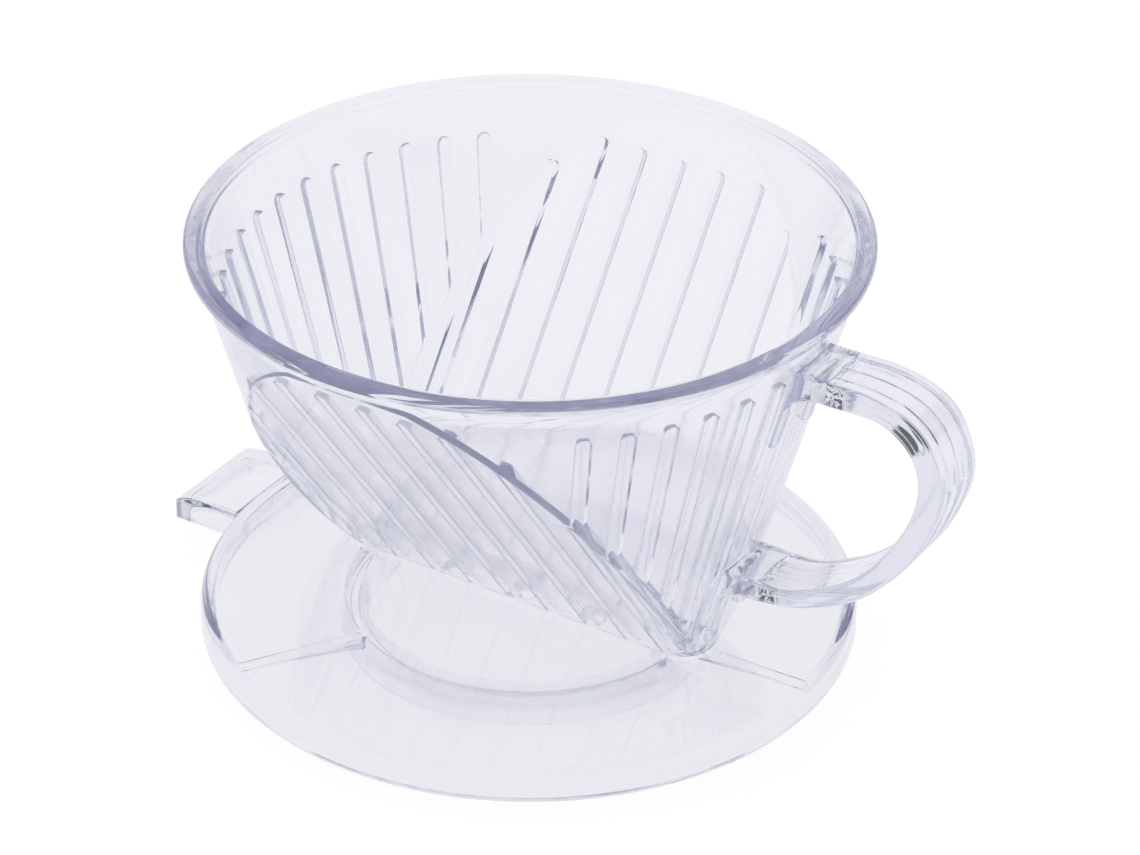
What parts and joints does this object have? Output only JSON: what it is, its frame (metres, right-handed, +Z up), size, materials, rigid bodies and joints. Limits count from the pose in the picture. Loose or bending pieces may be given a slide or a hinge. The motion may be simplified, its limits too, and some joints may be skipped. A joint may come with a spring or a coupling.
{
  "type": "pour over coffee dripper",
  "caption": "Clear plastic wedge-shaped pour over coffee dripper: ribbed filter cup with a loop handle, welded to a round base plate that sits on a mug.",
  "frame": {"origin": "on the surface that the locating ring stands on, under the middle of the whole outline from the finger tab to the handle; the cup's axis is 6.15 mm towards -X", "axes": "+X towards the handle, -X towards the finger tab, +Z up along the cup's axis, +Y to the left when looking along +X; X and Z span the plane of symmetry"},
  "size_m": [0.1523, 0.116, 0.0799],
  "materials": {
    "clear_cup": "clear, polished, moulded",
    "clear_handle": "clear, polished, moulded",
    "clear_base": "clear, polished, moulded"
  },
  "bodies": {
    "root": {"cup_body": "clear_cup", "handle": "clear_handle", "base_plate": "clear_base"}
  },
  "joints": []
}
